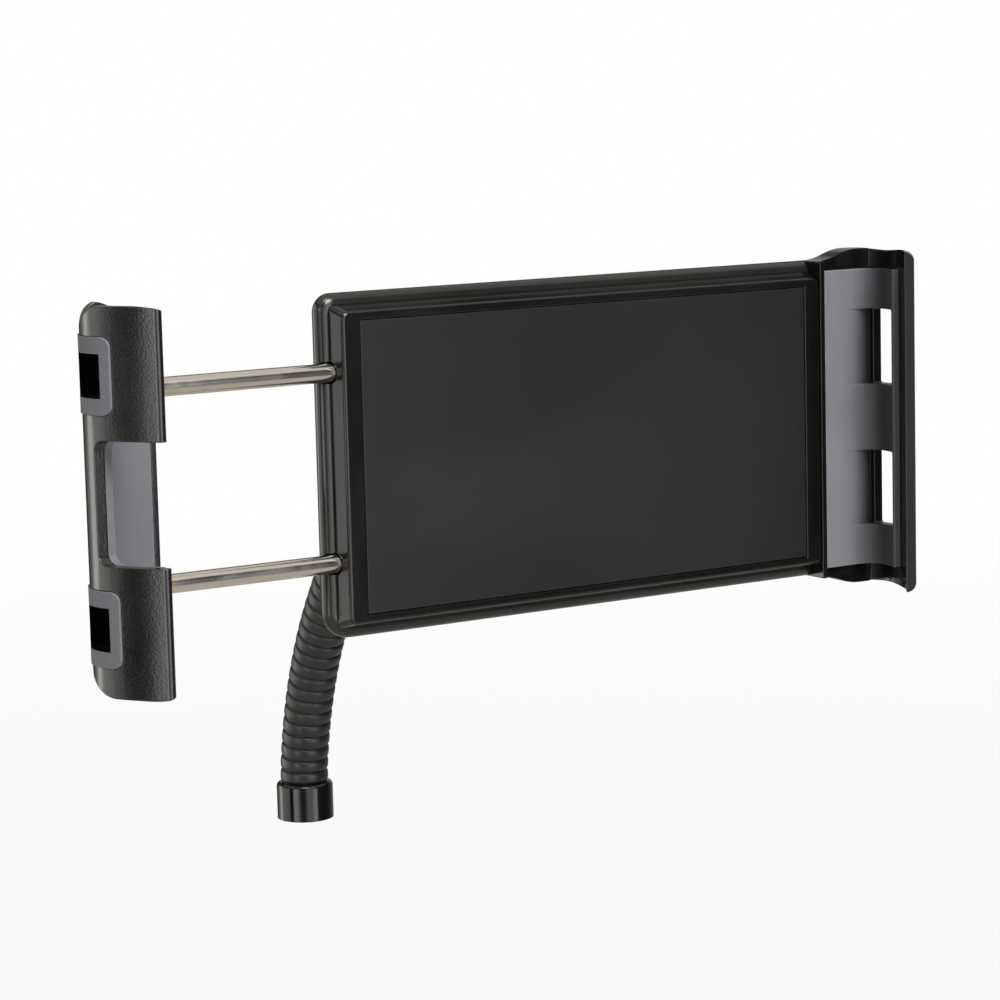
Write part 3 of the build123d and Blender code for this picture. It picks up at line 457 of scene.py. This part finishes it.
finishes = {
    "glossBlack": {
        **plainFinish,
        "colour": (0.005, 0.0048, 0.0046), "marked": (0.0085, 0.0082, 0.0078), "edge": (0.012, 0.0115, 0.011),
        "rough": (0.09, 0.17), "edgeRound": 0.00035, "grain": 160, "bump": 0.0000025,
        "patches": 22, "specks": 1100, "dust": 0.5,
    },
    "shellBlack": {
        **plainFinish,
        "colour": (0.0150, 0.0148, 0.0136), "marked": (0.021, 0.0207, 0.019), "edge": (0.030, 0.0295, 0.028),
        "rough": (0.13, 0.20), "edgeRound": 0.00035, "grain": 160, "bump": 0.0000025,
        "patches": 22, "specks": 1100, "dust": 0.5,
    },
    "mattPanel": {
        **plainFinish,
        "colour": (0.0098, 0.0100, 0.0103), "marked": (0.0118, 0.0120, 0.0123), "edge": (0.03, 0.03, 0.03),
        "rough": (0.29, 0.34), "edgeRound": 0.00015, "grain": 5200, "cells": 0.25, "bump": 0.000006,
        "specular": 0.45, "patches": 14, "specks": 900, "dust": 0.3,
    },
    "pebbledBlack": {
        **plainFinish,
        "colour": (0.0062, 0.0062, 0.0061), "marked": (0.0115, 0.0115, 0.0112), "edge": (0.022, 0.022, 0.021),
        "rough": (0.12, 0.16), "grainRough": 0.10, "specular": 0.75, "edgeRound": 0.0004,
        "grain": 2000, "cells": 0.65, "stretch": (1, 1, 1.3), "bump": 0.000019,
        "patches": 40, "specks": 1200, "dust": 0.4,
    },
    "windowedRubber": {
        **greyRubber,
        "colour": (0.156, 0.153, 0.170), "marked": (0.176, 0.173, 0.190),
        "windows": {        # middles and half sizes
            "Level": 0.10796, "Depth": -0.14075, "Depth Half": 0.00595,
            "Height": 0.02485, "Height Half": 0.00436,
        },
        # painted shade: near black on the walls of the liner's windows
        "paintedWindowShade": (0.0020, 0.0016, 0.0014),
    },
    "hookedRubber": {
        **greyRubber,
        "colour": (0.178, 0.174, 0.193), "marked": (0.200, 0.196, 0.215),
        "corner": {"From X": 0.0715, "To X": 0.0785, "From Y": -0.1445, "To Y": -0.1425},
        # painted shade: darker grey in the hook's inside corner, towards its far end
        "cornerShade": (0.020, 0.020, 0.023),
    },
    "darkRubber": {
        **plainFinish,
        "colour": (0.0160, 0.0160, 0.0162), "marked": (0.023, 0.023, 0.0233), "edge": (0.03, 0.03, 0.031),
        "rough": (0.34, 0.44), "edgeRound": 0.00015, "grain": 3000, "cells": 0.3, "bump": 0.00002,
        "patches": 60, "specks": 1300, "dust": 0.7,
    },
    "polishedSteel": {
        **plainFinish,
        "colour": (0.68, 0.645, 0.58), "marked": (0.58, 0.55, 0.49), "edge": (0.78, 0.75, 0.69),
        "metal": 1, "rough": (0.10, 0.19), "edgeRound": 0.00015,
        "grain": 900, "stretch": (0.02, 1, 1), "bump": 0.0000012,
        "patches": 60, "specks": 1600, "dust": 0.4,
    },
    "springSteel": {
        **plainFinish,
        "colour": (0.55, 0.55, 0.56), "marked": (0.42, 0.42, 0.43), "edge": (0.62, 0.62, 0.63),
        "metal": 1, "rough": (0.24, 0.36), "edgeRound": 0.0001,
        "grain": 1400, "stretch": (1, 0.05, 0.05), "bump": 0.00008,
        "patches": 80, "specks": 1600, "dust": 0.3,
    },
    "ivoryPlastic": {
        **plainFinish,
        "colour": (0.70, 0.68, 0.62), "marked": (0.62, 0.60, 0.54), "edge": (0.76, 0.74, 0.69),
        "rough": (0.36, 0.46), "edgeRound": 0.0002, "grain": 2400, "cells": 0.2, "bump": 0.000008,
        "patches": 50, "specks": 1200, "dust": 0.4,
    },
    "blackSteel": {
        **plainFinish,
        "colour": (0.035, 0.035, 0.036), "marked": (0.055, 0.053, 0.052), "edge": (0.22, 0.21, 0.20),
        "metal": 0.8, "rough": (0.28, 0.42), "edgeRound": 0.00012,
        "grain": 2600, "cells": 0.3, "bump": 0.00001,
        "patches": 120, "specks": 1800, "dust": 0.5,
    },
    "softAluminium": {
        **plainFinish,
        "colour": (0.58, 0.58, 0.59), "marked": (0.50, 0.50, 0.51), "edge": (0.66, 0.66, 0.67),
        "metal": 1, "rough": (0.30, 0.42), "edgeRound": 0.0002,
        "grain": 1200, "stretch": (1, 1, 0.05), "bump": 0.000008,
        "patches": 60, "specks": 1200, "dust": 0.3,
    },
}

dustLook = {"share": 0.6, "pale": 0.03, "rough": 0.25}      # colour kept under dust, and what dust adds


def makeFinish(name, values):
    material = bpy.data.materials.new(name)
    tree = clearTree(material)

    def effect(group, inputs):
        return newNode(tree, "ShaderNodeGroup", inputs, node_tree=group).outputs

    marks = effect(handlingGroup, {
        "Patches": values["patches"], "Specks": values["specks"], "Dust": values["dust"],
    })
    grain = effect(grainGroup, {
        "Scale": values["grain"], "Cells": values["cells"], "Stretch": values["stretch"],
    })
    edges = effect(edgeGroup, {"Breakup": values["breakup"]})

    touched = reckon(tree, "MULTIPLY", marks["Smear"], grain["Shade"])
    dusty = tuple(dustLook["share"] * part + dustLook["pale"] for part in values["marked"])
    colour = mixColours(tree, touched, values["colour"], values["marked"])
    # rubbed edges, and on the grey rubber a painted highlight along them
    colour = mixColours(tree, edges["Edge"], colour, values["edge"])
    colour = mixColours(tree, marks["Speck"], colour, dusty)
    metal = values["metal"]
    # painted shade: near black in the liner's windows
    if "windows" in values:
        inside = effect(paintedWindowShadeGroup, values["windows"])["Inside"]
        colour = mixColours(tree, inside, colour, values["paintedWindowShade"])
        metal = inside      # so that no sheen lights the windows' walls, which keep their painted shade
    # painted shade: darker in the hook's inside corner
    if "corner" in values:
        inside = effect(paintedCornerShadeGroup, values["corner"])["Inside"]
        colour = mixColours(tree, inside, colour, values["cornerShade"])

    rough = remap(tree, marks["Smear"], (0, 1), values["rough"])
    rough = reckon(tree, "MULTIPLY_ADD", marks["Speck"], dustLook["rough"], rough)
    rough = reckon(tree, "MULTIPLY_ADD", grain["Height"], values["grainRough"], rough)

    rounded = newNode(tree, "ShaderNodeBevel", {"Radius": values["edgeRound"]}, samples=bevelSamples)
    bumped = newNode(tree, "ShaderNodeBump", {
        "Distance": values["bump"], "Height": grain["Height"], "Normal": rounded.outputs[0],
    })
    shader = newNode(tree, "ShaderNodeBsdfPrincipled", {
        "Base Color": colour, "Metallic": metal, "Roughness": rough,
        "Specular IOR Level": values["specular"], "Normal": bumped.outputs[0],
    })
    newNode(tree, "ShaderNodeOutputMaterial", {"Surface": shader.outputs[0]})
    return material


materials = {name: makeFinish(name, values) for name, values in finishes.items()}

nodeFinishes = {
    "back_shell": "shellBlack", "front_frame": "glossBlack", "face_panel": "mattPanel",
    "fixed_jaw_shell": "glossBlack", "fixed_jaw_liner": "hookedRubber",
    "sliding_jaw_shell": "pebbledBlack", "sliding_jaw_liner": "windowedRubber",
    "upper_rod": "polishedSteel", "lower_rod": "polishedSteel",
    "upper_spring": "springSteel", "lower_spring": "springSteel",
    "spring_washers": "springSteel", "rod_clips": "springSteel",
    "rod_bushes": "ivoryPlastic", "friction_cup": "ivoryPlastic", "pressure_ring": "ivoryPlastic",
    "housing_screws": "blackSteel", "jaw_screws": "blackSteel", "socket_screws": "blackSteel",
    "socket_base": "pebbledBlack", "lock_ring": "pebbledBlack", "ball_stud": "polishedSteel",
    "neck_ferrule": "glossBlack", "neck_core": "softAluminium", "neck_sleeve": "darkRubber",
    "collar": "glossBlack",
}


def dressNode(name, finish):
    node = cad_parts[name]
    node.data.materials.clear()
    node.data.materials.append(materials[finish])
    for polygon in node.data.polygons:
        polygon.material_index = 0


for nodeName, finishName in nodeFinishes.items():
    dressNode(nodeName, finishName)
print("stage: finishes on the packed nodes")


# ribbed sleeve of the gooseneck: one rib drawn as a short tube, repeated, then bent along the neck's line

sleeveShape = {
    "foot": 0.0064,         # height of its lower end
    "seat": 0.0030,         # how much of it either fitting hides
    "seatRadius": 0.00553,
    "bore": 0.00415,        # radius
    "ribs": 42,
    "sides": 72,
    "boreSteps": 60,        # rings along the bore, so that it bends
    "profile": (            # share of a rib's length, and radius
        (0.00, 0.00545), (0.030, 0.00549), (0.065, 0.00574), (0.12, 0.00592), (0.20, 0.00603),
        (0.33, 0.00609), (0.50, 0.00610), (0.67, 0.00609), (0.80, 0.00603), (0.88, 0.00592),
        (0.935, 0.00574), (0.970, 0.00549), (1.00, 0.00545),
    ),
    "line": (               # radius in metres and turn in degrees, or a straight length and no turn
        (0.0040, 0), (0.030, 8.0), (0.108, 25.8), (0.0303, 0), (0.0522, 56.2), (0.0122, 0),
    ),
    "lineSteps": 60,        # between two points of the line
    "endHandle": 0.001,
    "unevenness": 0.00006,
    "unevenScale": 0.011,
    "smoothUnder": 50,      # degrees
}


def makeNeckLine(values):
    # a smooth line with a point wherever the neck's bend changes, and the line's length
    def ahead(heading):
        return Vector((0, -math.sin(heading), math.cos(heading)))

    def inward(heading):
        return Vector((0, -math.cos(heading), -math.sin(heading)))

    place, heading, length = Vector((0, 0, values["foot"])), 0.0, 0.0
    before = values["endHandle"]
    points = []
    for size, turn in values["line"]:
        sweep = math.radians(turn)
        after = 4 / 3 * math.tan(sweep / 4) * size if turn else size / 3
        points.append((place, ahead(heading), before, after))
        if turn:
            centre = place + inward(heading) * size
            heading += sweep
            place = centre - inward(heading) * size
            length += size * sweep
        else:
            place = place + ahead(heading) * size
            length += size
        before = after
    points.append((place, ahead(heading), before, values["endHandle"]))

    deselectAll()
    bpy.ops.curve.primitive_bezier_curve_add(location=(0, 0, 0))
    line = bpy.context.object
    line.name = "neckLine"
    line.data.resolution_u = values["lineSteps"]
    line.data.twist_mode = "MINIMUM"
    spline = line.data.splines[0]
    spline.bezier_points.add(len(points) - len(spline.bezier_points))
    for knot, (spot, way, before, after) in zip(spline.bezier_points, points):
        knot.handle_left_type = knot.handle_right_type = "FREE"
        knot.co = spot
        knot.handle_left, knot.handle_right = spot - way * before, spot + way * after
    return line, length


def makeSleeve(values):
    line, length = makeNeckLine(values)
    seat, profile = values["seat"], values["profile"]
    pitch = (length - 2 * seat) / values["ribs"]
    rootRadius = profile[0][1]
    deselectAll()
    bpy.ops.mesh.primitive_circle_add(
        vertices=values["sides"], radius=rootRadius, location=(seat, 0, 0), rotation=(0, math.pi / 2, 0)
    )
    sleeve = bpy.context.object
    settle(sleeve, "ribbedSleeve")
    bpy.ops.object.mode_set(mode="EDIT")
    bpy.ops.mesh.select_all(action="SELECT")
    for (share, radius), (nextShare, nextRadius) in zip(profile, profile[1:]):
        extrudeAlong((nextShare - share) * pitch)
        widen(nextRadius / radius, seat + nextShare * pitch)
    bpy.ops.object.mode_set(mode="OBJECT")
    row = sleeve.modifiers.new("row", "ARRAY")
    row.count = values["ribs"]
    row.use_relative_offset = False
    row.use_constant_offset = True
    row.constant_offset_displace = (pitch, 0, 0)
    row.use_merge_vertices = True
    row.merge_threshold = samePlace
    applyAll(sleeve)

    # the plain seats in the two fittings, then the bore from one end to the other
    pick(sleeve)
    bpy.ops.object.mode_set(mode="EDIT")
    bpy.ops.mesh.select_mode(type="EDGE")
    for end, rim in ((0.0, seat), (length, length - seat)):
        mark(sleeve, lambda spot: abs(spot.x - rim) < samePlace)
        extrudeAlong(0)
        widen(values["seatRadius"] / rootRadius, rim)
        extrudeAlong(end - rim)
        extrudeAlong(0)
        widen(values["bore"] / values["seatRadius"], end)
    mark(sleeve, lambda spot: spot.x < samePlace and math.hypot(spot.y, spot.z) < values["bore"] + samePlace)
    for step in range(values["boreSteps"]):
        extrudeAlong(length / values["boreSteps"])
    bpy.ops.object.mode_set(mode="OBJECT")
    faceOutwards(sleeve)

    clouds = bpy.data.textures.new("sleeveUnevenness", "CLOUDS")
    clouds.noise_scale = values["unevenScale"]
    uneven = sleeve.modifiers.new("uneven", "DISPLACE")
    uneven.texture = clouds
    uneven.texture_coords = "LOCAL"
    uneven.strength = values["unevenness"]
    bend = sleeve.modifiers.new("bend", "CURVE")
    bend.object = line
    bend.deform_axis = "POS_X"
    applyAll(sleeve)
    bpy.data.objects.remove(line)
    pick(sleeve)
    bpy.ops.object.shade_smooth_by_angle(angle=math.radians(values["smoothUnder"]))
    sleeve.data.materials.append(materials["darkRubber"])
    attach(sleeve, "neck")
    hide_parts("neck_sleeve")
    print("stage: sleeve of", round(length * 1000, 2), "mm with", len(sleeve.data.polygons), "faces")


makeSleeve(sleeveShape)


# return springs round the rods, which on the holder the slide presses together or lets out: coils wound once
# at the imported springs' size

coilShape = {
    "pieces": {"upper_spring": "upperCoil", "lower_spring": "lowerCoil"},
    "wire": 0.00039,        # thickness
    "turns": 31,
    "stepsPerTurn": 20,
    "wireSides": 8,
    "clearance": 0.00001,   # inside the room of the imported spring
    "smoothUnder": 60,      # degrees
}


def makeCoil(node, name, values):
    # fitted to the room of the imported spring, with its wire's end faces closed
    low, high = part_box(node)
    middle = (low + high) / 2
    wire = values["wire"]
    radius = (high.z - low.z - wire) / 2 - values["clearance"]
    deselectAll()
    bpy.ops.mesh.primitive_circle_add(
        vertices=values["wireSides"], radius=wire / 2, location=(0, 0, radius), rotation=(math.pi / 2, 0, 0)
    )
    coil = bpy.context.object
    settle(coil, name)
    wind = coil.modifiers.new("wind", "SCREW")
    wind.axis = "X"
    wind.screw_offset = (high.x - low.x - 2 * wire) / values["turns"]
    wind.iterations = values["turns"]
    wind.steps = wind.render_steps = values["stepsPerTurn"]
    applyAll(coil)
    coil.location = (low.x + wire, middle.y, middle.z)
    settle(coil, name)
    bpy.ops.object.mode_set(mode="EDIT")
    bpy.ops.mesh.select_all(action="DESELECT")
    bpy.ops.mesh.select_mode(type="EDGE")
    bpy.ops.mesh.select_non_manifold(extend=False)
    bpy.ops.mesh.fill_holes(sides=values["wireSides"])
    bpy.ops.object.mode_set(mode="OBJECT")
    faceOutwards(coil)
    bpy.ops.object.shade_smooth_by_angle(angle=math.radians(values["smoothUnder"]))
    coil.data.materials.append(materials["springSteel"])
    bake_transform(coil)
    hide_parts(node)
    print("stage:", name, "with", len(coil.data.polygons), "faces")


for nodeName, coilName in coilShape["pieces"].items():
    makeCoil(nodeName, coilName, coilShape)


deselectAll()
print("stage: done")
